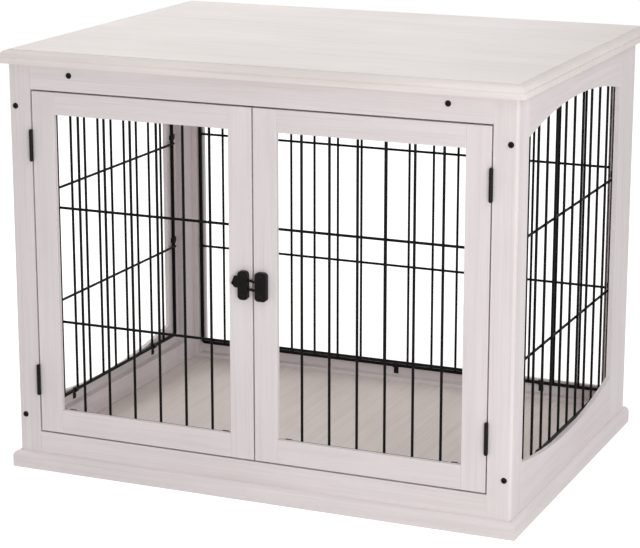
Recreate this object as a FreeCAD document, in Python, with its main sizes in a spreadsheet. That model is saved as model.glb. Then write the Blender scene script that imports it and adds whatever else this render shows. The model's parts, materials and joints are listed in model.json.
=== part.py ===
import FreeCAD, Part
import math
import os
import re

import Sketcher

# A dog crate that stands in for an end table: a wooden cabinet with two wire-filled front doors,
# arched wire-filled sides, a wire-filled back, a floor tray and a moulded top.
# +X is to the right seen from the front, +Y is to the back, +Z is up.
# The origin is on the floor, under the middle of the table top. All sizes are millimetres.

SIZES = {
    # table top: a plain lower band, a round moulding above it, and a slightly raised field
    "top_width": 810.0,
    "top_depth": 626.0,
    "top_band": 8.5,
    "top_step": 1.5,
    "top_moulding": 10.7,
    "top_round": 9.3,
    "top_field_inset": 11.8,
    "top_field_rise": 0.8,
    "top_overhang_front": 11.0,
    # cabinet
    "carcass_width": 788.0,
    "carcass_depth": 576.0,
    "carcass_height": 622.0,
    "corner_round": 5.0,
    "edge_ease": 0.7,
    # face frame around the doors
    "face_thick": 20.0,
    "post_width": 36.0,
    "face_top_rail": 37.2,
    "face_bottom_rail": 58.5,
    # side frames
    "side_thick": 20.0,
    "side_front_stile": 25.0,
    "side_rear_stile": 87.0,
    "side_top_rail": 60.0,
    "side_top_rise": 23.5,
    "side_bottom_rail": 98.0,
    "side_bottom_dip": 22.4,
    # back frame
    "back_thick": 20.0,
    "back_stile": 17.0,
    "back_top_rail": 38.0,
    "back_bottom_rail": 56.0,
    # wood left outside a wire panel's seat, and the room beside the panel there
    "lip": 7.0,
    "mesh_room": 1.0,
    "clip_room": 3.0,
    # plinth moulding
    "plinth_height": 25.0,
    "plinth_out": 9.0,
    "plinth_round": 8.0,
    # floor tray
    "floor_gap": 0.5,
    "floor_height": 17.0,
    "floor_thick": 9.0,
    "bearer_width": 30.0,
    "bearer_drop": 15.0,
    "bearer_inset": 40.0,
    # blocks behind the face frame's top rail
    "cleat_width": 640.0,
    "cleat_thick": 20.0,
    "stop_width": 70.0,
    "stop_thick": 12.0,
    "stop_height": 50.0,
    "stop_gap": 0.5,
    # how far a cutting shape passes the faces that it opens
    "cut_over": 1.0,
    # doors
    "door_thick": 20.0,
    "door_gap": 2.5,
    "door_stile": 36.5,
    "door_top_rail": 33.0,
    "door_bottom_rail": 36.0,
    # wire panels: how far each passes the opening's edges, its bays and its cross wires
    "rod_radius": 2.75,
    "wire_radius": 2.0,
    "weld": 0.4,
    "mesh_corner": 5.0,
    "mesh_gap": 0.3,
    "door_lap": 8.5,
    "door_lap_low": 3.5,
    "door_lap_high": 5.4,
    "door_bays": 7,
    "door_cross_low": 138.9,
    "door_cross_high": 314.4,
    "side_lap_front": 11.0,
    "side_lap_rear": 13.6,
    "side_lap_low": 20.0,
    "side_lap_high": 30.0,
    "side_bays": 11,
    "side_cross_low": 157.0,
    "side_cross_high": 335.0,
    "back_lap": 5.0,
    "back_lap_low": 5.3,
    "back_lap_high": 10.0,
    "back_bays": 17,
    "back_cross_low": 173.6,
    "back_cross_high": 370.0,
    # saddle clips that hold the wire panels
    "clip_width": 8.0,
    "clip_thick": 1.0,
    "clip_reach": 15.0,
    "clip_bore": 1.7,
    "clip_screw_radius": 1.4,
    "clip_screw_length": 5.0,
    "clip_head_radius": 2.8,
    "clip_head_height": 1.6,
    "screw_head_taper": 0.6,
    # where they sit: in bays from a panel's rod or middle, beside a wire, or at a height
    "clip_wire_gap": 0.6,
    "door_clip_bay": 0.5,
    "door_clip_height": 198.1,
    "side_clip_bay_front": 3,
    "side_clip_bay_rear": 9,
    "side_clip_above": 9.5,
    "back_clip_bays": 6,
    # hinges
    "hinge_height": 45.5,
    "hinge_rise": 81.0,
    "hinge_drop": 80.3,
    "hinge_forward": 3.2,
    "knuckle_count": 5,
    "knuckle_radius": 3.0,
    "knuckle_gap": 0.3,
    "pin_radius": 1.3,
    "pin_clearance": 0.1,
    "pin_cap_radius": 2.4,
    "pin_cap_height": 1.2,
    "leaf_thick": 1.0,
    "leaf_gap": 0.5,
    "leaf_depth": 17.0,
    "leaf_start": 0.2,
    "leaf_screw_place": 10.0,
    "leaf_screw_spread": 14.0,
    "leaf_screw_radius": 1.3,
    "leaf_screw_length": 8.0,
    "leaf_head_radius": 2.3,
    # sliding latch on the doors' meeting stiles: a guide with the bolt, and a keeper
    "latch_height": 324.8,
    "latch_gap": 5.6,
    "latch_tall": 42.5,
    "latch_round": 5.5,
    "latch_ease": 0.9,
    "latch_plate_thick": 1.5,
    "latch_out": 6.5,
    "latch_wall": 1.3,
    "latch_travel": 7.5,
    "latch_spare": 0.5,
    "guide_width": 15.6,
    "guide_hold": 3.4,
    "slide_clearance": 0.15,
    "keeper_width": 18.4,
    "keeper_pocket": 10.0,
    "keeper_room": 0.6,
    "keeper_tab": 4.0,
    "keeper_dimple": 2.2,
    "dimple_depth": 0.8,
    "prong_radius": 1.9,
    "prong_rise": 6.4,
    "prong_lift": 1.0,
    "prong_out": 2.6,
    "prong_reach": 0.6,
    "prong_clearance": 0.1,
    "yoke_width": 3.0,
    "knob_thick": 4.0,
    "knob_reach": 9.4,
    "knob_high_reach": 6.2,
    "knob_low_reach": 5.5,
    "knob_top": 13.0,
    "knob_foot": 4.0,
    "knob_tip_high": 4.5,
    "knob_tip_low": 1.0,
    "grip_rise": 2.0,
    "latch_screw_rise": 15.0,
    "latch_screw_radius": 1.3,
    "latch_screw_length": 14.0,
    "latch_head_radius": 3.0,
    "latch_head_height": 1.2,
    # bolts that hold the face frame
    "bolt_head_radius": 4.5,
    "bolt_head_height": 2.2,
    "bolt_head_taper": 0.72,
    "bolt_socket": 1.7,
    "bolt_socket_depth": 1.4,
    "bolt_radius": 2.5,
    "bolt_clearance": 0.3,
    "post_bolt_inset": 11.0,
    "post_bolt_drop": 63.4,
    "post_bolt_low": 83.3,
    "post_bolt_length": 28.0,
    "rail_bolt_place": 292.5,
    "rail_bolt_drop": 13.3,
    "rail_bolt_length": 34.0,
}

# Planes and lines that the pieces share, each a formula of the sizes above.
DERIVED = {
    "front": "top_overhang_front - top_depth / 2",
    "back": "front + carcass_depth",
    "half": "carcass_width / 2",
    "post_edge": "half - post_width",
    "side_face": "half - side_thick",
    "opening_top": "carcass_height - face_top_rail",
    "side_start": "front + face_thick",
    "side_low_y": "side_start + side_front_stile",
    "side_high_y": "back - side_rear_stile",
    "side_span": "side_high_y - side_low_y",
    "side_top_z": "carcass_height - side_top_rail",
    "top_arc": "((side_span / 2)^2 + side_top_rise^2) / (2 * side_top_rise)",
    "bottom_arc": "((side_span / 2)^2 + side_bottom_dip^2) / (2 * side_bottom_dip)",
    "back_face": "back - back_thick",
    "back_edge": "side_face - back_stile",
    "back_top_z": "carcass_height - back_top_rail",
    "floor_top": "floor_height + floor_thick",
    # wire panels
    "seat": "rod_radius + mesh_gap",
    "cross_back": "2 * wire_radius - weld",
    "tab_end": "clip_reach + clip_room",
    "plain_end": "rod_radius + mesh_room",
    "clip_aside": "clip_width / 2 + wire_radius + clip_wire_gap",
    "door_outer": "post_edge - door_gap",
    "door_inner": "door_gap / 2",
    "door_low": "face_bottom_rail + door_gap",
    "door_high": "opening_top - door_gap",
    "door_mesh_x": "door_inner + door_stile - door_lap",
    "door_mesh_z": "door_low + door_bottom_rail - door_lap_low",
    "door_mesh_width": "door_outer - door_stile + door_lap - door_mesh_x",
    "door_mesh_height": "door_high - door_top_rail + door_lap_high - door_mesh_z",
    "side_mesh_y": "side_low_y - side_lap_front",
    "side_mesh_z": "side_bottom_rail - side_lap_low",
    "side_mesh_width": "side_high_y + side_lap_rear - side_mesh_y",
    "side_mesh_height": "side_top_z + side_lap_high - side_mesh_z",
    "back_mesh_z": "back_bottom_rail - back_lap_low",
    "back_mesh_width": "2 * (back_edge + back_lap)",
    "back_mesh_height": "back_top_z + back_lap_high - back_mesh_z",
    # hinges and latch
    "leaf_frame": "post_edge - leaf_thick",
    "leaf_door": "door_outer + leaf_thick",
    "axis_x": "(leaf_frame + leaf_door) / 2",
    "axis_y": "front - hinge_forward",
    "hinge_low": "door_low + hinge_rise",
    "hinge_high": "door_high - hinge_drop",
    "bore": "pin_radius + pin_clearance",
    "knuckle_pitch": "(hinge_height + knuckle_gap) / knuckle_count",
    "plate_face": "front - latch_plate_thick",
    "latch_face": "plate_face - latch_out",
    "guide_end": "latch_gap + guide_width",
    "prong_y": "plate_face - prong_out",
    "prong_low": "latch_height + prong_lift - prong_rise",
    "prong_high": "latch_height + prong_lift + prong_rise",
    "knob_start": "latch_gap + guide_hold + latch_travel + latch_spare",
    "bolt_z": "carcass_height - rail_bolt_drop",
    "post_bolt_high": "carcass_height - post_bolt_drop",
}

doc = FreeCAD.newDocument("DogCrateEndTable")
sheet = doc.addObject("Spreadsheet::Sheet", "Sizes")
for row, (name, value) in enumerate(SIZES.items(), start=1):
    sheet.set(f"A{row}", str(value))
    sheet.setAlias(f"A{row}", name)
doc.recompute()


def formula(text):
    """Turns the names in a formula into references to the sheet, through DERIVED."""
    def reference(match):
        word = match.group()
        if word in DERIVED:
            return "(" + formula(DERIVED[word]) + ")"
        return "Sizes." + word if word in SIZES else word
    return re.sub(r"[a-z_]\w*", reference, text)


def bind(item, **values):
    """Ties an object's properties to formulas; x, y and z are its place."""
    places = {"x": "Placement.Base.x", "y": "Placement.Base.y", "z": "Placement.Base.z"}
    for name, text in values.items():
        item.setExpression(places.get(name, name), formula(text))
    return item


def add(kind, label):
    """A new object of the document whose Label is its own."""
    item = doc.addObject(kind, label)
    item.Label = label
    return item


def box(label, x, y, z):
    """A block between two formulas on each axis."""
    block = add("Part::Box", label)
    bind(block, x=x[0], y=y[0], z=z[0], Length=f"{x[1]} - ({x[0]})", Width=f"{y[1]} - ({y[0]})",
         Height=f"{z[1]} - ({z[0]})")
    return block


ALONG = {
    "x": FreeCAD.Rotation(FreeCAD.Vector(0, 1, 0), 90),
    "y": FreeCAD.Rotation(FreeCAD.Vector(1, 0, 0), -90),
    "z": FreeCAD.Rotation(),
}


def rod(label, axis, start, end, radius, **place):
    """A round bar along an axis, from one formula to another."""
    bar = add("Part::Cylinder", label)
    bar.Placement = FreeCAD.Placement(FreeCAD.Vector(), ALONG[axis])
    place[axis] = start
    bind(bar, Radius=radius, Height=f"{end} - ({start})", **place)
    return bar


def cone(label, axis, start, end, radius, end_radius, **place):
    """A round head that narrows along an axis."""
    head = add("Part::Cone", label)
    head.Placement = FreeCAD.Placement(FreeCAD.Vector(), ALONG[axis])
    place[axis] = start
    bind(head, Radius1=radius, Radius2=end_radius, Height=f"{end} - ({start})", **place)
    return head


def fuse(label, pieces):
    """One shape of several; pieces that don't touch stay separate solids."""
    union = add("Part::MultiFuse", label)
    union.Shapes = pieces
    return union


def cut(label, base, *tools):
    """A piece with other shapes taken out of it."""
    result = add("Part::Cut", label)
    result.Base = base
    result.Tool = fuse(label + "_tools", list(tools)) if len(tools) > 1 else tools[0]
    return result


def mirror(label, source):
    """The other hand of a piece."""
    twin = add("Part::Mirroring", label)
    twin.Source = source
    twin.Normal = FreeCAD.Vector(1, 0, 0)
    return twin


def group(label, pieces):
    """Several separate solids under one name."""
    together = add("Part::Compound", label)
    together.Links = pieces
    return together


def copies(label, source, places):
    """The same piece again at each placement."""
    links = []
    for number, placement in enumerate(places, start=1):
        link = add("App::Link", f"{label}_{number}")
        link.LinkedObject = source
        link.LinkTransform = True
        link.Placement = placement
        links.append(link)
    return group(label, links)


def eased(label, base, radius, chosen):
    """A piece with the edges that pass a test rounded."""
    doc.recompute()
    result = add("Part::Fillet", label)
    result.Base = base
    size = sheet.get(radius)
    edges = enumerate(base.Shape.Edges, start=1)
    result.Edges = [(number, size, size) for number, edge in edges if chosen(edge)]
    return result


def is_upright(edge):
    """Whether an edge is straight and vertical."""
    return edge.BoundBox.XLength < 0.01 and edge.BoundBox.YLength < 0.01


def lies_at(axis, place):
    """A test for the edges in one plane across an axis."""
    def test(edge):
        extent = edge.BoundBox
        flat = getattr(extent, axis + "Length") < 0.01
        return flat and abs(getattr(extent, axis + "Min") - place) < 0.01
    return test


def plank(label, x, y, z):
    """A piece of wood with its sharp edges lightly rounded."""
    return eased(label, box(label + "_blank", x, y, z), "edge_ease", lambda edge: True)


def outline(label, corners, height, z="0"):
    """A body padded up from a plan outline whose corners are tied to the sheet."""
    body = add("PartDesign::Body", label)
    plane = [item for item in body.Origin.OriginFeatures if item.Role == "XY_Plane"][0]
    sketch = body.newObject("Sketcher::SketchObject", label + "_outline")
    sketch.AttachmentSupport = [(plane, "")]
    sketch.MapMode = "FlatFace"
    count = len(corners)
    turns = [2 * math.pi * number / count for number in range(count)]
    points = [FreeCAD.Vector(math.cos(turn), math.sin(turn), 0) for turn in turns]
    for number, point in enumerate(points):
        sketch.addGeometry(Part.LineSegment(point, points[(number + 1) % count]))
    for number, (x, y) in enumerate(corners):
        sketch.addConstraint(Sketcher.Constraint("Coincident", number, 2, (number + 1) % count, 1))
        for kind, text, start in (("DistanceX", x, points[number].x),
                                  ("DistanceY", y, points[number].y)):
            tie = sketch.addConstraint(Sketcher.Constraint(kind, -1, 1, number, 1, start))
            sketch.renameConstraint(tie, f"{kind}{number}")
            sketch.setExpression(f"Constraints.{kind}{number}", formula(text))
    pad = body.newObject("PartDesign::Pad", label + "_pad")
    pad.Profile = sketch
    bind(pad, Length=height)
    bind(body, z=z)
    return body


def round_body(body, radius, chosen):
    """Rounds the edges of a body that pass a test."""
    doc.recompute()
    tip = body.Tip
    names = [f"Edge{number}" for number, edge in enumerate(tip.Shape.Edges, 1) if chosen(edge)]
    fillet = body.newObject("PartDesign::Fillet", body.Label + "_round")
    fillet.Base = (tip, names)
    bind(fillet, Radius=radius)
    doc.recompute()
    return body


# ---------------------------------------------------------------- fasteners

def bolt(label, x, z, length):
    """A round-headed socket bolt driven straight back from the front face."""
    head = cone(label + "_head", "y", "front - bolt_head_height", "front",
                "bolt_head_radius * bolt_head_taper", "bolt_head_radius", x=x, z=z)
    shank = rod(label + "_shank", "y", "front", f"front + {length}", "bolt_radius", x=x, z=z)
    socket = add("Part::Prism", label + "_socket")
    socket.Polygon = 6
    socket.Placement = FreeCAD.Placement(FreeCAD.Vector(), ALONG["y"])
    bind(socket, Circumradius="bolt_socket", Height="bolt_socket_depth", x=x,
         y="front - bolt_head_height", z=z)
    return cut(label, fuse(label + "_solid", [head, shank]), socket)


BOLTS = [(side + "post_bolt_" + place, sign + " * (half - post_bolt_inset)", z, "post_bolt_length")
         for side, sign in (("left_", "-1"), ("right_", "1"))
         for place, z in (("high", "post_bolt_high"), ("low", "post_bolt_low"))]
BOLTS += [(side + "rail_bolt", sign + " * rail_bolt_place", "bolt_z", "rail_bolt_length")
          for side, sign in (("left_", "-1"), ("right_", "1"))]


def bolt_ways(label, names):
    """The clearance holes of the named bolts, through the face frame."""
    return [rod(f"{label}_way_{name}", "y", "front - cut_over", "front + face_thick + cut_over",
                "bolt_radius + bolt_clearance", x=x, z=z)
            for name, x, z, _ in BOLTS if name in names]


frame_bolts = group("frame_bolts", [bolt(name, x, z, length) for name, x, z, length in BOLTS])


# ---------------------------------------------------------------- wire panels and their clips

def wire_panel(label, width, height, bays, crosses):
    """A welded panel, flat in its own XY plane: a bent rod round it, and thinner wires."""
    pieces = []
    for name, y in (("low", "0"), ("high", height)):
        pieces.append(rod(f"{label}_{name}_rod", "x", "mesh_corner", f"{width} - mesh_corner",
                          "rod_radius", y=y))
    for name, x in (("near", "0"), ("far", width)):
        pieces.append(rod(f"{label}_{name}_rod", "y", "mesh_corner", f"{height} - mesh_corner",
                          "rod_radius", x=x))
    corners = (("mesh_corner", "mesh_corner", 180), (f"{width} - mesh_corner", "mesh_corner", 270),
               (f"{width} - mesh_corner", f"{height} - mesh_corner", 0),
               ("mesh_corner", f"{height} - mesh_corner", 90))
    for number, (x, y, turn) in enumerate(corners):
        bend = add("Part::Torus", f"{label}_bend_{number}")
        bend.Angle3 = 90
        around = FreeCAD.Rotation(FreeCAD.Vector(0, 0, 1), turn)
        bend.Placement = FreeCAD.Placement(FreeCAD.Vector(), around)
        bind(bend, Radius1="mesh_corner", Radius2="rod_radius", x=x, y=y)
        pieces.append(bend)
    count = int(sheet.get(bays))
    for number in range(1, count):
        pieces.append(rod(f"{label}_wire_{number}", "y", "0", height, "wire_radius",
                          x=f"{width} * {number} / {bays}"))
    for number, y in enumerate(crosses):
        pieces.append(rod(f"{label}_cross_{number}", "x", "0", width, "wire_radius", y=y,
                          z="-1 * (cross_back)"))
    return fuse(label, pieces)


def saddle_clip():
    """A strap over a rod along X, with its tab toward -Y against the wood at Z = seat."""
    over = FreeCAD.Rotation(FreeCAD.Vector(0, -1, 0), FreeCAD.Vector(0, 0, -1),
                            FreeCAD.Vector(1, 0, 0))
    shapes = []
    for name, radius in (("outer", "seat + clip_thick"), ("inner", "seat")):
        bend = add("Part::Cylinder", f"strap_{name}_bend")
        bend.Placement = FreeCAD.Placement(FreeCAD.Vector(), over)
        bend.Angle = 180
        bind(bend, Radius=radius, Height="clip_width", x="-1 * clip_width / 2")
        legs = box(f"strap_{name}_legs", ("-1 * clip_width / 2", "clip_width / 2"),
                   (f"-1 * ({radius})", radius), ("0", "seat"))
        shapes.append(fuse(f"strap_{name}", [bend, legs]))
    tab = box("strap_tab", ("-1 * clip_width / 2", "clip_width / 2"),
              ("-1 * clip_reach", "-1 * seat"), ("seat - clip_thick", "seat"))
    middle = "-1 * (seat + clip_thick + clip_reach) / 2"
    bore = rod("strap_bore", "z", "seat - 2 * clip_thick", "seat + clip_thick", "clip_bore", y=middle)
    strap = cut("strap", fuse("strap_blank", [cut("strap_bow", shapes[0], shapes[1]), tab]), bore)
    head = cone("clip_screw_head", "z", "seat - clip_thick - clip_head_height", "seat - clip_thick",
                "clip_head_radius * screw_head_taper", "clip_head_radius", y=middle)
    shank = rod("clip_screw_shank", "z", "seat - clip_thick", "seat + clip_screw_length",
                "clip_screw_radius", y=middle)
    return group("saddle_clip", [strap, fuse("clip_screw", [head, shank])])


def number_of(text):
    """The value of a formula, worked out with the document's own expressions."""
    probe = doc.addObject("App::FeaturePython", "probe")
    probe.addProperty("App::PropertyFloat", "Value")
    probe.setExpression("Value", formula(text))
    probe.recompute()
    value = probe.Value
    doc.removeObject(probe.Name)
    return value


CLIP = saddle_clip()


def clips(label, spots):
    """Clips at places on a panel's rod; a turn of 0 has the tab below the rod."""
    places = [FreeCAD.Placement(FreeCAD.Vector(number_of(x), number_of(y), 0),
                                FreeCAD.Rotation(FreeCAD.Vector(0, 0, 1), turn))
              for x, y, turn in spots]
    return copies(label, CLIP, places)


FACING_FRONT = FreeCAD.Rotation(FreeCAD.Vector(1, 0, 0), FreeCAD.Vector(0, 0, 1),
                                FreeCAD.Vector(0, -1, 0))
FACING_RIGHT = FreeCAD.Rotation(FreeCAD.Vector(0, 1, 0), FreeCAD.Vector(0, 0, 1),
                                FreeCAD.Vector(1, 0, 0))
FACING_BACK = FreeCAD.Rotation(FreeCAD.Vector(-1, 0, 0), FreeCAD.Vector(0, 0, 1),
                               FreeCAD.Vector(0, 1, 0))


def stand(item, facing, x, y, z):
    """Stands a flat panel up, with the side that meets the wood facing outward."""
    item.Placement = FreeCAD.Placement(FreeCAD.Vector(), facing)
    return bind(item, x=x, y=y, z=z)


DOOR_PLACE = (FACING_FRONT, "door_mesh_x", "front + lip + seat", "door_mesh_z")
SIDE_PLACE = (FACING_RIGHT, "half - lip - (seat)", "side_mesh_y", "side_mesh_z")
BACK_PLACE = (FACING_BACK, "back_mesh_width / 2", "back - lip - (seat)", "back_mesh_z")

right_door_mesh = stand(wire_panel("right_door_mesh", "door_mesh_width", "door_mesh_height",
                                   "door_bays", ("door_cross_low", "door_cross_high")), *DOOR_PLACE)
door_clip_near = "door_mesh_width * door_clip_bay / door_bays"
door_clip_far = "door_mesh_width * (1 - door_clip_bay / door_bays)"
right_door_clips = stand(clips("right_door_clips", [
    (door_clip_near, "0", 0), (door_clip_far, "0", 0), (door_clip_near, "door_mesh_height", 180),
    (door_clip_far, "door_mesh_height", 180), ("0", "door_clip_height", 270),
    ("door_mesh_width", "door_clip_height", 90)]), *DOOR_PLACE)

right_side_mesh = stand(wire_panel("right_side_mesh", "side_mesh_width", "side_mesh_height",
                                   "side_bays", ("side_cross_low", "side_cross_high")), *SIDE_PLACE)
side_clip_front = "side_mesh_width * side_clip_bay_front / side_bays - clip_aside"
side_clip_rear = "side_mesh_width * side_clip_bay_rear / side_bays + clip_aside"
right_side_clips = stand(clips("right_side_clips", [
    (side_clip_front, "0", 0), (side_clip_rear, "0", 0), (side_clip_front, "side_mesh_height", 180),
    (side_clip_rear, "side_mesh_height", 180),
    ("side_mesh_width", "side_cross_low + side_clip_above", 90),
    ("side_mesh_width", "side_cross_high + side_clip_above", 90)]), *SIDE_PLACE)

back_mesh = stand(wire_panel("back_mesh", "back_mesh_width", "back_mesh_height", "back_bays",
                             ("back_cross_low", "back_cross_high")), *BACK_PLACE)
back_clips = stand(clips("back_clips", [
    (f"back_mesh_width * (1 / 2 + {step} * back_clip_bays / back_bays)", edge, turn)
    for edge, turn in (("0", 0), ("back_mesh_height", 180)) for step in ("-1", "0", "1")]),
    *BACK_PLACE)


# ---------------------------------------------------------------- table top, plinth and floor

def layer(label, inset, start, end):
    """One level of the table top, set in from its edge."""
    return box(label, (f"{inset} - top_width / 2", f"top_width / 2 - ({inset})"),
               (f"{inset} - top_depth / 2", f"top_depth / 2 - ({inset})"), (start, end))


band_end = "carcass_height + top_band"
moulding_end = "carcass_height + top_band + top_moulding"
moulded = eased("top_moulded", layer("top_moulded_blank", "top_step", band_end, moulding_end),
                "top_round", lies_at("Z", number_of(moulding_end)))
field_end = f"{moulding_end} + top_field_rise"
band_part = eased("top_band_part", layer("top_band_blank", "0", "carcass_height", band_end),
                  "edge_ease", lambda edge: True)
tabletop = fuse("tabletop", [band_part, moulded,
                             layer("top_field", "top_field_inset", moulding_end, field_end)])

plinth_ends = {"plinth_height": number_of("plinth_height"), "front_out": number_of("front - plinth_out"),
               "side_out": number_of("half + plinth_out")}


def is_plinth_front(edge):
    """Whether an edge is the front plinth's outer top edge."""
    low = edge.BoundBox
    return low.ZMin > plinth_ends["plinth_height"] - 0.01 and low.YMax < plinth_ends["front_out"] + 0.01


def is_plinth_side(edge):
    """Whether an edge is the right plinth's outer top edge."""
    low = edge.BoundBox
    return low.ZMin > plinth_ends["plinth_height"] - 0.01 and low.XMin > plinth_ends["side_out"] - 0.01


plinth_front = round_body(outline("plinth_front", [
    ("-1 * (half + plinth_out)", "front - plinth_out"), ("half + plinth_out", "front - plinth_out"),
    ("half", "front"), ("-1 * half", "front")], "plinth_height"), "plinth_round", is_plinth_front)
plinth_right = round_body(outline("plinth_right", [
    ("half", "front"), ("half + plinth_out", "front - plinth_out"), ("half + plinth_out", "back"),
    ("half", "back")], "plinth_height"), "plinth_round", is_plinth_side)
plinth_left = mirror("plinth_left", plinth_right)

floor_panel = plank("floor_panel", ("floor_gap - (side_face)", "side_face - floor_gap"),
                    ("side_start + floor_gap", "back_face - floor_gap"),
                    ("floor_height", "floor_top"))
bearer_places = (("left", "bearer_inset - (side_face)"), ("middle", "-1 * bearer_width / 2"),
                 ("right", "side_face - bearer_inset - bearer_width"))
floor_bearers = fuse("floor_bearers", [
    box(f"bearer_{name}", (x, f"{x} + bearer_width"), ("side_start", "back_face"),
        ("floor_height - bearer_drop", "floor_height")) for name, x in bearer_places])

# ---------------------------------------------------------------- face frame

post_bolts = {side: [name for name, *_ in BOLTS if name.startswith(side + "_post")]
              for side in ("left", "right")}
post = box("front_right_post_blank", ("post_edge", "half"), ("front", "side_start"),
           ("0", "carcass_height"))
doc.recompute()
outer_corner = (number_of("half"), number_of("front"))


def is_outer_corner(edge):
    """Whether an edge is the cabinet's front right corner."""
    place = edge.BoundBox.Center
    return is_upright(edge) and math.dist((place.x, place.y), outer_corner) < 0.01


rounded_post = eased("front_right_post_round", post, "corner_round", is_outer_corner)


def leaf_slots(label, x_start, x_end):
    """Blocks where hinge leaves of one side lie, at both hinges."""
    return [box(f"{label}_{name}", (x_start, x_end),
                ("front + leaf_start", "front + leaf_depth"),
                (f"{middle} - hinge_height / 2", f"{middle} + hinge_height / 2"))
            for name, middle in (("low", "hinge_low"), ("high", "hinge_high"))]


def leaf_screws(label, head_x, sign):
    """Flat-headed screws of one side's leaves, driven along X."""
    screws = []
    for hinge in ("hinge_low", "hinge_high"):
        for step in ("-1", "1"):
            name = f"{label}_{hinge}_{'down' if step == '-1' else 'up'}"
            place = {"y": "front + leaf_screw_place", "z": f"{hinge} + {step} * leaf_screw_spread"}
            tip = f"{head_x} + {sign} * (leaf_thick + leaf_screw_length)"
            seat_x = f"{head_x} + {sign} * leaf_thick"
            ends = {"1": (head_x, seat_x, seat_x, tip), "-1": (seat_x, head_x, tip, seat_x)}[sign]
            head = rod(name + "_head", "x", ends[0], ends[1], "leaf_head_radius", **place)
            shank = rod(name + "_shank", "x", ends[2], ends[3], "leaf_screw_radius", **place)
            screws.append(fuse(name, [head, shank]))
    return group(label, screws)


def knuckles(label, first, web):
    """Every second knuckle at both hinges, each with the web that joins it to its leaf."""
    pieces = []
    for hinge in ("hinge_low", "hinge_high"):
        for number in range(first, int(sheet.get("knuckle_count")), 2):
            low = f"{hinge} - hinge_height / 2 + {number} * knuckle_pitch"
            high = f"{low} + knuckle_pitch - knuckle_gap"
            pieces.append(rod(f"{label}_{hinge}_{number}", "z", low, high, "knuckle_radius",
                              x="axis_x", y="axis_y"))
            pieces.append(box(f"{label}_web_{hinge}_{number}", web,
                              ("axis_y + bore", "front + leaf_start"), (low, high)))
    return pieces


def pin_ways(label):
    """The bores of both hinges."""
    return [rod(f"{label}_{hinge}_bore", "z", f"{hinge} - hinge_height / 2 - cut_over",
                f"{hinge} + hinge_height / 2 + cut_over", "bore", x="axis_x", y="axis_y")
            for hinge in ("hinge_low", "hinge_high")]


right_frame_screws = leaf_screws("right_frame_screws", "leaf_frame", "1")
right_frame_leaves = cut("right_frame_leaves", fuse("right_frame_leaf_blank", leaf_slots(
    "right_frame_leaf", "leaf_frame", "post_edge") + knuckles(
    "right_frame_knuckle", 0, ("leaf_frame", "post_edge"))),
    right_frame_screws, *pin_ways("right_frame"))
right_door_hinge_screws = leaf_screws("right_door_hinge_screws", "leaf_door", "-1")
right_door_hinge_leaves = cut("right_door_hinge_leaves", fuse("right_door_leaf_blank", leaf_slots(
    "right_door_leaf", "door_outer", "leaf_door") + knuckles(
    "right_door_knuckle", 1, ("door_outer", "leaf_door"))),
    right_door_hinge_screws, *pin_ways("right_door"))

right_pins = []
for hinge in ("hinge_low", "hinge_high"):
    foot = f"{hinge} - hinge_height / 2"
    crown = f"{hinge} + hinge_height / 2"
    pieces = [rod(f"pin_{hinge}", "z", foot, crown, "pin_radius", x="axis_x", y="axis_y"),
              rod(f"pin_foot_{hinge}", "z", f"{foot} - pin_cap_height", foot, "pin_cap_radius",
                  x="axis_x", y="axis_y"),
              cone(f"pin_crown_{hinge}", "z", crown, f"{crown} + pin_cap_height", "pin_cap_radius",
                   "pin_cap_radius / 2", x="axis_x", y="axis_y")]
    right_pins.append(fuse(f"right_pin_{hinge}", pieces))
right_hinge_pins = group("right_hinge_pins", right_pins)

for label, source in (("hinge_pins", right_hinge_pins), ("frame_hinge_leaves", right_frame_leaves),
                      ("frame_hinge_screws", right_frame_screws)):
    group(label, [source, mirror(label + "_twin", source)])

front_right_post = cut("front_right_post", rounded_post, right_frame_screws,
                       *bolt_ways("right_post", post_bolts["right"]))
front_left_post = mirror("front_left_post", front_right_post)
front_top_rail = cut("front_top_rail", plank("front_top_rail_plank", ("-1 * (post_edge)", "post_edge"),
                                             ("front", "side_start"), ("opening_top", "carcass_height")),
                     *bolt_ways("top_rail", ["left_rail_bolt", "right_rail_bolt"]))
front_bottom_rail = plank("front_bottom_rail", ("-1 * (post_edge)", "post_edge"),
                          ("front", "side_start"), ("0", "face_bottom_rail"))
front_top_cleat = cut("front_top_cleat", box("front_top_cleat_blank",
                                             ("-1 * cleat_width / 2", "cleat_width / 2"),
                                             ("side_start", "side_start + cleat_thick"),
                                             ("carcass_height - cleat_thick", "carcass_height")),
                      frame_bolts)
back_top_cleat = box("back_top_cleat", ("-1 * cleat_width / 2", "cleat_width / 2"),
                     ("back_face - cleat_thick", "back_face"),
                     ("carcass_height - cleat_thick", "carcass_height"))
door_stop = plank("door_stop", ("-1 * stop_width / 2", "stop_width / 2"),
                  ("front + door_thick + stop_gap", "front + door_thick + stop_gap + stop_thick"),
                  ("carcass_height - cleat_thick - stop_height", "carcass_height - cleat_thick"))

# ---------------------------------------------------------------- side frames

seat_room = box("side_seat_room", ("side_face - cut_over", "half - lip"),
                ("side_mesh_y - (plain_end)", "side_mesh_y + side_mesh_width + tab_end"),
                ("side_mesh_z - (tab_end)", "side_mesh_z + side_mesh_height + tab_end"))
right_front_stile = cut("right_front_stile", plank("right_front_stile_plank", ("side_face", "half"),
                                                   ("side_start", "side_low_y"),
                                                   ("0", "carcass_height")), seat_room, frame_bolts)


def is_rear_corner(edge):
    """Whether an edge is the cabinet's rear right corner."""
    place = edge.BoundBox.Center
    corner = (outer_corner[0], outer_corner[1] + sheet.get("carcass_depth"))
    return is_upright(edge) and math.dist((place.x, place.y), corner) < 0.01


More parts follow.
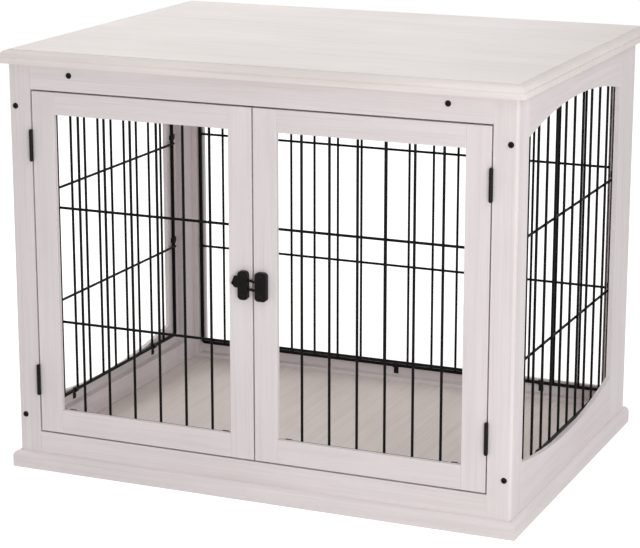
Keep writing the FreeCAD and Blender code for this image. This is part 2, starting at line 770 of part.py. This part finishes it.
rear_blank = box("right_rear_stile_blank", ("side_face", "half"), ("side_high_y", "back"),
                 ("0", "carcass_height"))
right_rear_stile = cut("right_rear_stile", eased("right_rear_stile_round", rear_blank,
                                                 "corner_round", is_rear_corner),
                       seat_room, right_side_clips)
top_arch = rod("side_top_arch", "x", "side_face - cut_over", "half + cut_over", "top_arc",
               y="(side_low_y + side_high_y) / 2", z="side_top_z + side_top_rise - top_arc")
right_top_rail = cut("right_top_rail", plank("right_top_rail_plank", ("side_face", "half"),
                                             ("side_low_y", "side_high_y"),
                                             ("side_top_z", "carcass_height")),
                     seat_room, top_arch, right_side_clips)
bottom_arch = rod("side_bottom_arch", "x", "side_face - cut_over", "half + cut_over", "bottom_arc",
                  y="(side_low_y + side_high_y) / 2",
                  z="side_bottom_rail - side_bottom_dip + bottom_arc")
right_bottom_rail = cut("right_bottom_rail", plank("right_bottom_rail_plank", ("side_face", "half"),
                                                   ("side_low_y", "side_high_y"),
                                                   ("0", "side_bottom_rail")),
                        seat_room, bottom_arch, right_side_clips)
for source in (right_front_stile, right_rear_stile, right_top_rail, right_bottom_rail,
               right_side_mesh, right_side_clips):
    mirror(source.Label.replace("right", "left"), source)

# ---------------------------------------------------------------- back frame

back_seat = box("back_seat_room", ("-1 * (back_edge + back_lap + plain_end)",
                                   "back_edge + back_lap + plain_end"),
                ("back_face - cut_over", "back - lip"),
                ("back_mesh_z - (tab_end)", "back_mesh_z + back_mesh_height + tab_end"))
back_right_stile = cut("back_right_stile", plank("back_right_stile_plank", ("back_edge", "side_face"),
                                                 ("back_face", "back"), ("0", "carcass_height")),
                       back_seat)
back_left_stile = mirror("back_left_stile", back_right_stile)
back_top_rail = cut("back_top_rail", plank("back_top_rail_plank", ("-1 * (back_edge)", "back_edge"),
                                           ("back_face", "back"), ("back_top_z", "carcass_height")),
                    back_seat, back_clips)
back_bottom_rail = cut("back_bottom_rail", plank("back_bottom_rail_plank",
                                                 ("-1 * (back_edge)", "back_edge"),
                                                 ("back_face", "back"), ("0", "back_bottom_rail")),
                       back_seat, back_clips)

# ---------------------------------------------------------------- doors

door_seat = box("door_seat_room",
                ("door_mesh_x - (tab_end)", "door_mesh_x + door_mesh_width + tab_end"),
                ("front + lip", "front + door_thick + cut_over"),
                ("door_mesh_z - (tab_end)", "door_mesh_z + door_mesh_height + tab_end"))
door_faces = ("front", "front + door_thick")


def latch_screws(label, width):
    """The two screws of a latch part on the right door."""
    screws = []
    for name, sign in (("low", "-1"), ("high", "1")):
        place = {"x": f"latch_gap + {width} / 2", "z": f"latch_height + {sign} * latch_screw_rise"}
        head = cone(f"{label}_{name}_head", "y", "latch_face - latch_head_height", "latch_face",
                    "latch_head_radius * screw_head_taper", "latch_head_radius", **place)
        shank = rod(f"{label}_{name}_shank", "y", "latch_face", "latch_face + latch_screw_length",
                    "latch_screw_radius", **place)
        screws.append(fuse(f"{label}_{name}", [head, shank]))
    return group(label, screws)


latch_keeper_screws = latch_screws("latch_keeper_screws", "keeper_width")
guide_screws = latch_screws("guide_screws", "guide_width")
latch_plate_screws = mirror("latch_plate_screws", guide_screws)

inner_stile_x = ("door_inner", "door_inner + door_stile")
outer_stile_x = ("door_outer - door_stile", "door_outer")
rail_x = ("door_inner + door_stile", "door_outer - door_stile")
right_door_hinge_stile = cut("right_door_hinge_stile", plank(
    "right_hinge_stile_plank", outer_stile_x, door_faces, ("door_low", "door_high")),
    door_seat, right_door_clips, right_door_hinge_screws)
meeting_plank = plank("meeting_stile_plank", inner_stile_x, door_faces, ("door_low", "door_high"))
right_door_meeting_stile = cut("right_door_meeting_stile", meeting_plank, door_seat,
                               right_door_clips, latch_keeper_screws)
right_door_top_rail = cut("right_door_top_rail", plank(
    "right_door_top_plank", rail_x, door_faces, ("door_high - door_top_rail", "door_high")),
    door_seat, right_door_clips)
right_door_bottom_rail = cut("right_door_bottom_rail", plank(
    "right_door_bottom_plank", rail_x, door_faces, ("door_low", "door_low + door_bottom_rail")),
    door_seat, right_door_clips)
left_door_meeting_stile = cut("left_door_meeting_stile", mirror("left_meeting_stile_blank", cut(
    "left_meeting_stile_twin", meeting_plank, door_seat, right_door_clips)), latch_plate_screws)
for source in (right_door_hinge_stile, right_door_top_rail, right_door_bottom_rail, right_door_mesh,
               right_door_clips, right_door_hinge_leaves, right_door_hinge_screws):
    mirror(source.Label.replace("right", "left"), source)

# ---------------------------------------------------------------- latch

PRONGS = (("low", "prong_low"), ("high", "prong_high"))


def is_across(edge):
    """Whether an edge runs front to back."""
    return edge.BoundBox.XLength < 0.01 and edge.BoundBox.ZLength < 0.01


def latch_layer(label, width, start, end):
    """One layer of a latch part on the right door, with its corners rounded."""
    blank = box(label + "_blank", ("latch_gap", f"latch_gap + {width}"), (start, end),
                ("latch_height - latch_tall / 2", "latch_height + latch_tall / 2"))
    return eased(label, blank, "latch_round", is_across)


def latch_housing(label, width):
    """The thick part of a latch part, with a softened front edge."""
    return eased(label, latch_layer(label + "_round", width, "latch_face", "plate_face"),
                 "latch_ease", lies_at("Y", number_of("latch_face")))


latch_keeper_plate = cut("latch_keeper_plate", latch_layer("keeper_plate_round", "keeper_width",
                                                           "plate_face", "front"), latch_keeper_screws)
keeper_tabs = [box(f"keeper_tab_{name}", ("latch_gap - keeper_tab", "latch_gap + latch_wall"),
                   ("latch_face", "latch_face + latch_wall"),
                   (f"{z} - prong_radius", f"{z} + prong_radius")) for name, z in PRONGS]
keeper_pocket = box("keeper_pocket_room", ("latch_gap - cut_over", "latch_gap + keeper_pocket"),
                    ("latch_face + latch_wall", "plate_face + cut_over"),
                    ("prong_low - prong_radius - keeper_room", "prong_high + prong_radius + keeper_room"))
dimple = rod("keeper_dimple_way", "y", "latch_face - cut_over", "latch_face + dimple_depth",
             "keeper_dimple", x="latch_gap + keeper_width / 2", z="latch_height")
latch_keeper = cut("latch_keeper", fuse("keeper_blank", [latch_housing("keeper_housing", "keeper_width")]
                                        + keeper_tabs), keeper_pocket, dimple, latch_keeper_screws)

guide_plate = cut("guide_plate", latch_layer("guide_plate_round", "guide_width", "plate_face", "front"),
                  guide_screws)
guide_pocket = box("guide_pocket_room", ("latch_gap + guide_hold", "guide_end + cut_over"),
                   ("prong_y - knob_thick / 2 - slide_clearance",
                    "prong_y + knob_thick / 2 + slide_clearance"),
                   ("prong_low - prong_radius - slide_clearance",
                    "latch_height + knob_top + slide_clearance"))
guide_bores = [rod(f"guide_bore_{name}", "x", "latch_gap - cut_over", "latch_gap + guide_hold + cut_over",
                   "prong_radius + prong_clearance", y="prong_y", z=z) for name, z in PRONGS]
guide = cut("guide", latch_housing("guide_housing", "guide_width"), guide_pocket, guide_screws,
            *guide_bores)

knob = stand(outline("knob", [
    ("knob_start", "-1 * knob_foot"), ("guide_end + knob_low_reach", "-1 * knob_foot"),
    ("guide_end + knob_reach", "knob_tip_low"), ("guide_end + knob_reach", "knob_tip_high"),
    ("guide_end + knob_high_reach", "knob_top"), ("knob_start", "knob_top")], "knob_thick"),
    FACING_FRONT, "0", "prong_y + knob_thick / 2", "latch_height")
yoke = box("yoke", ("knob_start", "knob_start + yoke_width"),
           ("prong_y - knob_thick / 2", "prong_y + knob_thick / 2"),
           ("prong_low - prong_radius", "latch_height"))
grip = box("grip", ("guide_end + latch_travel + latch_spare", "guide_end + knob_reach"),
           ("prong_y - knob_thick / 2 - grip_rise", "prong_y"),
           ("latch_height + knob_tip_low", "latch_height + knob_tip_high"))
prongs = [rod(f"prong_{name}", "x", "-1 * prong_reach", "knob_start + yoke_width", "prong_radius",
              y="prong_y", z=z) for name, z in PRONGS]
bolt_body = fuse("bolt_body", [knob, yoke, grip] + prongs)
for label, source in (("latch_plate", guide_plate), ("latch_guide", guide), ("latch_bolt", bolt_body)):
    mirror(label, source)

# ---------------------------------------------------------------- the pieces, checked and written

NODES = """
tabletop front_left_post front_right_post front_top_rail front_bottom_rail front_top_cleat
back_top_cleat door_stop left_front_stile right_front_stile left_rear_stile right_rear_stile
left_top_rail right_top_rail left_bottom_rail right_bottom_rail back_left_stile back_right_stile
back_top_rail back_bottom_rail plinth_front plinth_left plinth_right floor_panel floor_bearers
left_door_hinge_stile left_door_meeting_stile left_door_top_rail left_door_bottom_rail
right_door_hinge_stile right_door_meeting_stile right_door_top_rail right_door_bottom_rail
left_door_mesh right_door_mesh left_door_clips right_door_clips left_side_mesh right_side_mesh
left_side_clips right_side_clips back_mesh back_clips frame_hinge_leaves left_door_hinge_leaves
right_door_hinge_leaves hinge_pins frame_hinge_screws left_door_hinge_screws
right_door_hinge_screws latch_plate latch_guide latch_bolt latch_keeper_plate latch_keeper
latch_plate_screws latch_keeper_screws frame_bolts
""".split()

doc.recompute()
for item in doc.Objects:
    if "Invalid" in item.State or "Error" in item.State:
        raise RuntimeError(f"{item.Label} failed: {item.State}")

os.makedirs("parts", exist_ok=True)
for node in NODES:
    piece = doc.getObjectsByLabel(node)[0]
    if piece.Shape.isNull() or not piece.Shape.isValid() or not piece.Shape.Solids:
        raise RuntimeError(f"{node} has no valid shape")
    piece.Shape.exportStep(f"parts/{node}.step")
    print(node, len(piece.Shape.Solids), round(piece.Shape.Volume, 1))
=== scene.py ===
# %% [markdown]
# # A dog crate end table
# The real one is a wooden cabinet for a dog to sleep in, with wire panels in its sides, its back
# and its two doors. Every piece could be modelled by hand in Blender. Here the pieces come from
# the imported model, because it already has each board, wire, hinge and screw at its true size:
# metres, +X right, +Y back, +Z up, floor at Z = 0. This lesson gives them their finishes, and
# then adds the ground, the light and the camera.

# %% Load the fixed frame
import json
import math

import bpy
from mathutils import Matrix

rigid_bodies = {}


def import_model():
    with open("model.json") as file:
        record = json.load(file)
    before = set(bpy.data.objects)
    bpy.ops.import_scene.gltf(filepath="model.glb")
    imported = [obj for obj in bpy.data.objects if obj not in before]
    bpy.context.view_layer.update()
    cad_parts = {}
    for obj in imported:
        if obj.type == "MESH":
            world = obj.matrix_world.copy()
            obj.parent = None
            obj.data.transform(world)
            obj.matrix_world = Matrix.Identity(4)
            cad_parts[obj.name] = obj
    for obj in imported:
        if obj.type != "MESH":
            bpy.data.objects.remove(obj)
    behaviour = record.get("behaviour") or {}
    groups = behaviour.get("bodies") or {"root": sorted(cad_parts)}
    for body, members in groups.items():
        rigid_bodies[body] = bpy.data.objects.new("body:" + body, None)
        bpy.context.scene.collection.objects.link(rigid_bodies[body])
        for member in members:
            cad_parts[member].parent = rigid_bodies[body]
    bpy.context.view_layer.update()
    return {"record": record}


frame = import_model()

MM = 0.001

# %% [markdown]
# ## Colours and nodes
# The colour of a paint is picked on a screen as an sRGB hex code, but Blender's sockets hold
# linear values. A code can be typed into the colour picker by hand; in a script one function
# turns it. A second function adds a node with its settings and its links, so that a material
# reads as the list of its nodes.

# %% A colour from its hex code
def linear(hex_code):
    """An sRGB colour such as "E4DEDB" as the linear RGBA of a socket."""
    values = [int(hex_code[i:i + 2], 16) / 255 for i in (0, 2, 4)]
    curve = [v / 12.92 if v <= 0.04045 else ((v + 0.055) / 1.055) ** 2.4 for v in values]
    return (*curve, 1.0)


print("the hex grey 808080 is", round(linear("808080")[0], 3), "in a socket")


# %% A node, and a material to put it in
def add(tree, kind, inputs=None, stops=(), **settings):
    """Adds a node; an input's value is a number, a colour or another node's output.

    The stops are the (position, hex colour) pairs of a colour ramp.
    """
    node = tree.nodes.new(kind)
    for name, value in settings.items():
        setattr(node, name, value)
    for key, value in (inputs or {}).items():
        if isinstance(value, bpy.types.NodeSocket):
            tree.links.new(value, node.inputs[key])
        else:
            node.inputs[key].default_value = value
    if stops:
        elements = node.color_ramp.elements
        while len(elements) < len(stops):
            elements.new(0.5)
        for element, (position, hex_code) in zip(elements, stops):
            element.position = position
            element.color = linear(hex_code)
    return node


def new_material(name):
    """A named material with a fresh Principled shader; returns it, its tree and the shader."""
    material = bpy.data.materials.new(name)
    material.use_nodes = True
    tree = material.node_tree
    return material, tree, tree.nodes["Principled BSDF"]


print("helpers ready")

# %% [markdown]
# ## White-washed, brushed pine
# The real boards are pine. Brushing takes out the soft wood, and the wash stays in the grooves,
# so the surface is nearly white with thin grey-brown streaks along the grain. A picture of wood
# could be laid on each board, but it would repeat and show seams. Noise stretched along the
# grain has no seams, and its widths are real sizes: one noise makes the fine brushed lines, one
# the broad growth rings and one the slow change over a board.

# %% Sizes of the grain
BRUSH_PITCH = 1.3 * MM  # real lines are finer: drawn as coarse as they need to show
BRUSH_LENGTH = 160 * MM
BRUSH_DEPTH = 0.08 * MM
RING_PITCH = 9 * MM
RING_LENGTH = 420 * MM
PATCH_SIZE = 130 * MM
PATCH_LENGTH = 2 * PATCH_SIZE
BOARD_JUMP = (3.1, 5.3, 2.7)  # metres that the pattern moves at most from board to board


def streaks(along, pitch, length):
    """The mapping scale that turns a round noise into streaks along X, Y or Z."""
    scale = [1 / pitch] * 3
    scale["XYZ".index(along)] = 1 / length
    return scale


print("brushed lines", round(BRUSH_PITCH / MM, 2), "mm, rings", round(RING_PITCH / MM, 2), "mm")


# %% Grain patterns
def grain_patterns(tree, along):
    """Three noises along a board, from 0 to 1: brushed lines, growth rings and slow patches."""
    place = add(tree, "ShaderNodeTexCoord").outputs["Object"]
    board = add(tree, "ShaderNodeObjectInfo").outputs["Random"]
    jump = add(tree, "ShaderNodeVectorMath", {0: BOARD_JUMP, 3: board}, operation="SCALE")
    moved = add(tree, "ShaderNodeVectorMath", {0: place, 1: jump.outputs["Vector"]},
                operation="ADD")
    patterns = []
    for pitch, length, noise in (
            (BRUSH_PITCH, BRUSH_LENGTH, {"Detail": 4.0, "Roughness": 0.65}),
            (RING_PITCH, RING_LENGTH, {"Detail": 3.0, "Roughness": 0.55, "Distortion": 0.8}),
            (PATCH_SIZE, PATCH_LENGTH, {"Detail": 2.0})):
        stretched = add(tree, "ShaderNodeMapping", {
            "Vector": moved.outputs["Vector"], "Scale": streaks(along, pitch, length)})
        patterns.append(add(tree, "ShaderNodeTexNoise", {
            "Vector": stretched.outputs["Vector"], "Scale": 1.0, **noise}).outputs["Fac"])
    return patterns


print("grain patterns ready")

# %% [markdown]
# ## From grain to paint
# The wash is thin and half matt, so the eye sees pale paint first and the grain only as a soft
# shade. One plain colour would look like plastic. Two colour ramps turn the brushed lines and
# the rings into colours, and the same lines change the gloss and the height a little: a groove
# is rougher than the painted ridge beside it.

# %% Washed wood
GROOVE_FULL, GROOVE_END = 0.30, 0.47  # noise below the first is streak, above the second wash
RING_FULL, RING_END = 0.36, 0.56  # the same for the shade of a ring
PATCH_TONES = ((0.35, "F8F7F7"), (0.65, "FFFFFF"))
LINES_SHARE = 0.42
NOISE_RANGE = {"From Min": 0.3, "From Max": 0.7}  # where nearly all of a noise lies
WOOD_SHINE = 0.35
GROOVE_ROUGHER = 0.10
RIDGE_SMOOTHER = 0.05


def whitewashed(name, along, wash, streak, shade, roughness=0.55):
    """Washed wood with its grain along X, Y or Z."""
    material, tree, shader = new_material(name)
    brush, rings, patch = grain_patterns(tree, along)
    lines = add(tree, "ShaderNodeValToRGB", {"Fac": brush},
                stops=((GROOVE_FULL, streak), (GROOVE_END, wash), (1.0, wash)))
    bands = add(tree, "ShaderNodeValToRGB", {"Fac": rings},
                stops=((RING_FULL, shade), (RING_END, wash)))
    grain = add(tree, "ShaderNodeMix", {"Factor": LINES_SHARE, 6: bands.outputs["Color"],
                                        7: lines.outputs["Color"]}, data_type="RGBA")
    tone = add(tree, "ShaderNodeValToRGB", {"Fac": patch}, stops=PATCH_TONES)
    colour = add(tree, "ShaderNodeMix", {"Factor": 1.0, 6: grain.outputs[2],
                                         7: tone.outputs["Color"]},
                 data_type="RGBA", blend_type="MULTIPLY")
    tree.links.new(colour.outputs[2], shader.inputs["Base Color"])
    gloss = add(tree, "ShaderNodeMapRange", {
        "Value": brush, **NOISE_RANGE, "To Min": roughness + GROOVE_ROUGHER,
        "To Max": roughness - RIDGE_SMOOTHER})
    tree.links.new(gloss.outputs["Result"], shader.inputs["Roughness"])
    shader.inputs["Specular IOR Level"].default_value = WOOD_SHINE
    bump = add(tree, "ShaderNodeBump", {"Height": brush, "Distance": BRUSH_DEPTH,
                                        "Strength": 0.7})
    tree.links.new(bump.outputs["Normal"], shader.inputs["Normal"])
    return material


print("washed wood ready")

# %% [markdown]
# ## One wood for each direction
# Real grain runs along each board: sideways in a rail, upright in a stile. The boards could be
# unwrapped and their pattern turned one by one. It is simpler to have one material for each
# direction, and `Object Info` moves the pattern from board to board, so that no two match. The
# top is handled and wiped, so it is a little smoother and warmer; its wash is also a little
# paler than the front's, and that paleness is painted light, for the top faces the lamps from
# above. The floor is duller, and the blocks out of sight are plain wood without a wash.

# %% Woods
FRONT_WASH = ("E7E0E0", "D0C7C6", "DFD7D7")
rail_wood = whitewashed("White-washed pine, grain along X", "X", *FRONT_WASH)
side_rail_wood = whitewashed("White-washed pine, grain along Y", "Y", *FRONT_WASH)
stile_wood = whitewashed("White-washed pine, grain upright", "Z", *FRONT_WASH)
# The top's wash is paler than the front's: painted light, as if from the lamps above.
top_wood = whitewashed("White-washed pine top, paler with painted light", "X", "ECE5E1", "D7CEC9", "E5DDD9", 0.5)
floor_wood = whitewashed("White-washed pine floor", "Y", "E8DFDA", "CDC2BC", "DED4CF", 0.62)
block_wood = whitewashed("Plain pine blocks", "X", "DDD2C4", "B39F88", "CDBEAB", 0.66)
woods = (rail_wood, side_rail_wood, stile_wood, top_wood, floor_wood, block_wood)
print("woods:", [wood.name for wood in woods])

# %% [markdown]
# ## Black metal
# The real wires are powder coated, which leaves a very fine orange peel and a dull black. The
# hinges, screws and bolts have a thinner, smoother black coat, and the latch is a painted
# casting, the smoothest of them. The coat hides the steel, so the shader is not metallic: it is
# a dark paint with a weak gloss. A fine noise makes the peel, and a broad one the paler spots
# where hands and tools have worn the coat.

# %% Black metal material
WEAR_SIZE = 30  # size of a worn spot, counted in grains
WEAR_START, WEAR_FULL = 0.45, 0.75
COAT_SMOOTHER = 0.06
WORN_ROUGHER = 0.08


def black_metal(name, colour, worn, roughness, shine, grain, depth):
    """Coated metal: a dark colour, a fine peel and slightly paler worn spots."""
    material, tree, shader = new_material(name)
    shader.inputs["Specular IOR Level"].default_value = shine
    place = add(tree, "ShaderNodeTexCoord").outputs["Object"]
    peel = add(tree, "ShaderNodeTexNoise", {"Vector": place, "Scale": 1 / grain, "Detail": 3.0})
    wear = add(tree, "ShaderNodeTexNoise", {"Vector": place, "Scale": 1 / (WEAR_SIZE * grain),
                                            "Detail": 4.0, "Roughness": 0.6})
    tone = add(tree, "ShaderNodeValToRGB", {"Fac": wear.outputs["Fac"]},
               stops=((WEAR_START, colour), (WEAR_FULL, worn)))
    tree.links.new(tone.outputs["Color"], shader.inputs["Base Color"])
    gloss = add(tree, "ShaderNodeMapRange", {
        "Value": wear.outputs["Fac"], **NOISE_RANGE, "To Min": roughness - COAT_SMOOTHER,
        "To Max": roughness + WORN_ROUGHER})
    tree.links.new(gloss.outputs["Result"], shader.inputs["Roughness"])
    bump = add(tree, "ShaderNodeBump", {"Height": peel.outputs["Fac"], "Distance": depth,
                                        "Strength": 0.5})
    tree.links.new(bump.outputs["Normal"], shader.inputs["Normal"])
    return material


print("black metal ready")

# %% Metals
wire = black_metal("Black powder coat on wire", colour="080707", worn="100E0F", roughness=0.5,
                   shine=0.12, grain=0.5 * MM, depth=0.03 * MM)
hardware = black_metal("Black coat on steel hardware", colour="0D0B0C", worn="191516",
                       roughness=0.42, shine=0.2, grain=0.35 * MM, depth=0.02 * MM)
bolt_black = black_metal("Black oxide on bolts", colour="0C0A0A", worn="171414",
                         roughness=0.42, shine=0.2, grain=0.4 * MM, depth=0.02 * MM)
latch_black = black_metal("Black paint on the latch casting", colour="0C0809", worn="171112",
                          roughness=0.38, shine=0.16, grain=0.6 * MM, depth=0.05 * MM)
metals = (wire, hardware, bolt_black, latch_black)
print("metals:", [metal.name for metal in metals])

# %% [markdown]
# ## Dress the pieces
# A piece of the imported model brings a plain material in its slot. It could be picked and given
# its finish by hand, 58 times. The record already names a kind of finish for each piece, so a
# short table of those kinds dresses them all.

# %% Materials by slot
BY_SLOT = {
    "rail_wood": rail_wood, "side_rail_wood": side_rail_wood, "stile_wood": stile_wood,
    "top_wood": top_wood, "floor_wood": floor_wood, "block_wood": block_wood,
    "wire": wire, "hardware_black": hardware, "bolt_black": bolt_black,
    "latch_black": latch_black,
}
for part in frame["record"]["subparts"]:
    slots = bpy.data.objects[part["node"]].data.materials
    for index in range(len(slots)):
        slots[index] = BY_SLOT[part["material_slot"]]

# %% [markdown]
# ## The sky of a pale studio
# A studio for pale furniture is white all round. A bright sky would make it white, but it would
# also wash out the wood. So the sky is white only to what sees it directly, and lights the
# object much less: `Light Path` tells the two apart.

# %% Sky
SKY_LIGHT = 0.55


def seen_directly(tree):
    """1 for what the camera, a mirror or clear glass sees, and 0 for light that spreads."""
    path = add(tree, "ShaderNodeLightPath")
    glossy = add(tree, "ShaderNodeMath", {0: path.outputs["Is Camera Ray"],
                                          1: path.outputs["Is Glossy Ray"]}, operation="MAXIMUM")
    clear = add(tree, "ShaderNodeMath", {0: glossy.outputs[0],
                                         1: path.outputs["Is Transmission Ray"]},
                operation="MAXIMUM")
    return clear.outputs[0]


world = bpy.data.worlds.new("Pale studio")
bpy.context.scene.world = world
world.use_nodes = True
tree = world.node_tree
tree.nodes.clear()
light = add(tree, "ShaderNodeBackground", {"Color": linear("FFFEFF"), "Strength": SKY_LIGHT})
white = add(tree, "ShaderNodeBackground", {"Color": linear("FFFFFF"), "Strength": 1.0})
both = add(tree, "ShaderNodeMixShader", {0: seen_directly(tree), 1: light.outputs[0],
                                         2: white.outputs[0]})
add(tree, "ShaderNodeOutputWorld", {"Surface": both.outputs[0]})
print("sky", SKY_LIGHT)

# %% [markdown]
# ## The ground
# The floor is plain pale paint and carries the object's shadow. Painted pure white it would
# still look grey under these lamps, and stronger lamps would burn out the wood. So it gets a
# glow that only the camera sees, and the shadow stays.

# %% Ground
FLOOR_SIZE = 12.0
FLOOR_GLOW = 0.5

bpy.ops.mesh.primitive_plane_add(size=FLOOR_SIZE)
ground = bpy.context.object
ground.name = "ground"
ground_material, tree, shader = new_material("Pale studio floor")
shader.inputs["Base Color"].default_value = linear("F4F3F2")
shader.inputs["Roughness"].default_value = 0.9
bright = add(tree, "ShaderNodeEmission", {"Color": linear("FFFFFF"), "Strength": FLOOR_GLOW})
path = add(tree, "ShaderNodeLightPath")
glow = add(tree, "ShaderNodeMixShader", {0: path.outputs["Is Camera Ray"]})
summed = add(tree, "ShaderNodeAddShader", {0: shader.outputs[0], 1: bright.outputs[0]})
tree.links.new(shader.outputs[0], glow.inputs[1])
tree.links.new(summed.outputs[0], glow.inputs[2])
tree.links.new(glow.outputs[0], tree.nodes["Material Output"].inputs["Surface"])
ground.data.materials.append(ground_material)
print("ground", FLOOR_SIZE, "m wide")

# %% [markdown]
# ## Lamps
# Product photographs use large soft boxes, which make soft shadows and no hard glints. A sun
# lamp would be simpler but its shadows are sharp, so these are area lamps. The key stands on the
# right, so the right posts are the palest, and a weaker one keeps the front from going grey. The
# two others, at the rear and on the left, light the inside through the wires.

# %% Lamps
MIDDLE = (0, 0, 0.32)


def lamp(name, place, size, watts):
    """A square soft box that faces the middle of the object."""
    data = bpy.data.lights.new(name, "AREA")
    data.size = size
    data.energy = watts
    item = bpy.data.objects.new(name, data)
    bpy.context.collection.objects.link(item)
    item.location = place
    aim = [b - a for a, b in zip(place, MIDDLE)]
    item.rotation_euler = (math.atan2(math.hypot(aim[0], aim[1]), -aim[2]), 0,
                           math.atan2(aim[1], aim[0]) - math.pi / 2)


lamp("key", place=(2.6, -1.6, 2.6), size=1.6, watts=24)
lamp("front right", place=(1.35, -1.75, 0.5), size=0.8, watts=11)
lamp("rear", place=(-1.2, 2.6, 1.5), size=1.6, watts=9)
lamp("left", place=(-2.3, 0.2, 1.7), size=1.6, watts=22)
print(len(bpy.data.lights), "lamps")

# %% [markdown]
# ## Camera
# It stands where the photograph was taken from: a little to the right and above, far off, so
# that the upright edges stay nearly parallel. A camera could be moved by eye until the picture
# fits. These numbers were fitted to the object's corners instead, which is quicker and closer.

# %% Camera
CAMERA_PLACE = (1.3100, -3.1040, 1.1304)
CAMERA_YAW = 23.28  # degrees
CAMERA_PITCH = 14.31  # degrees below level
CAMERA_LENS = 125.6  # mm
SENSOR_WIDTH = 36.0  # mm

camera = bpy.data.objects.new("camera", bpy.data.cameras.new("camera"))
bpy.context.collection.objects.link(camera)
camera.location = CAMERA_PLACE
camera.rotation_euler = (math.radians(90 - CAMERA_PITCH), 0, math.radians(CAMERA_YAW))
camera.data.lens = CAMERA_LENS
camera.data.sensor_width = SENSOR_WIDTH
bpy.context.scene.camera = camera
bpy.context.scene.view_settings.view_transform = "Standard"
print("camera lens", CAMERA_LENS, "mm")
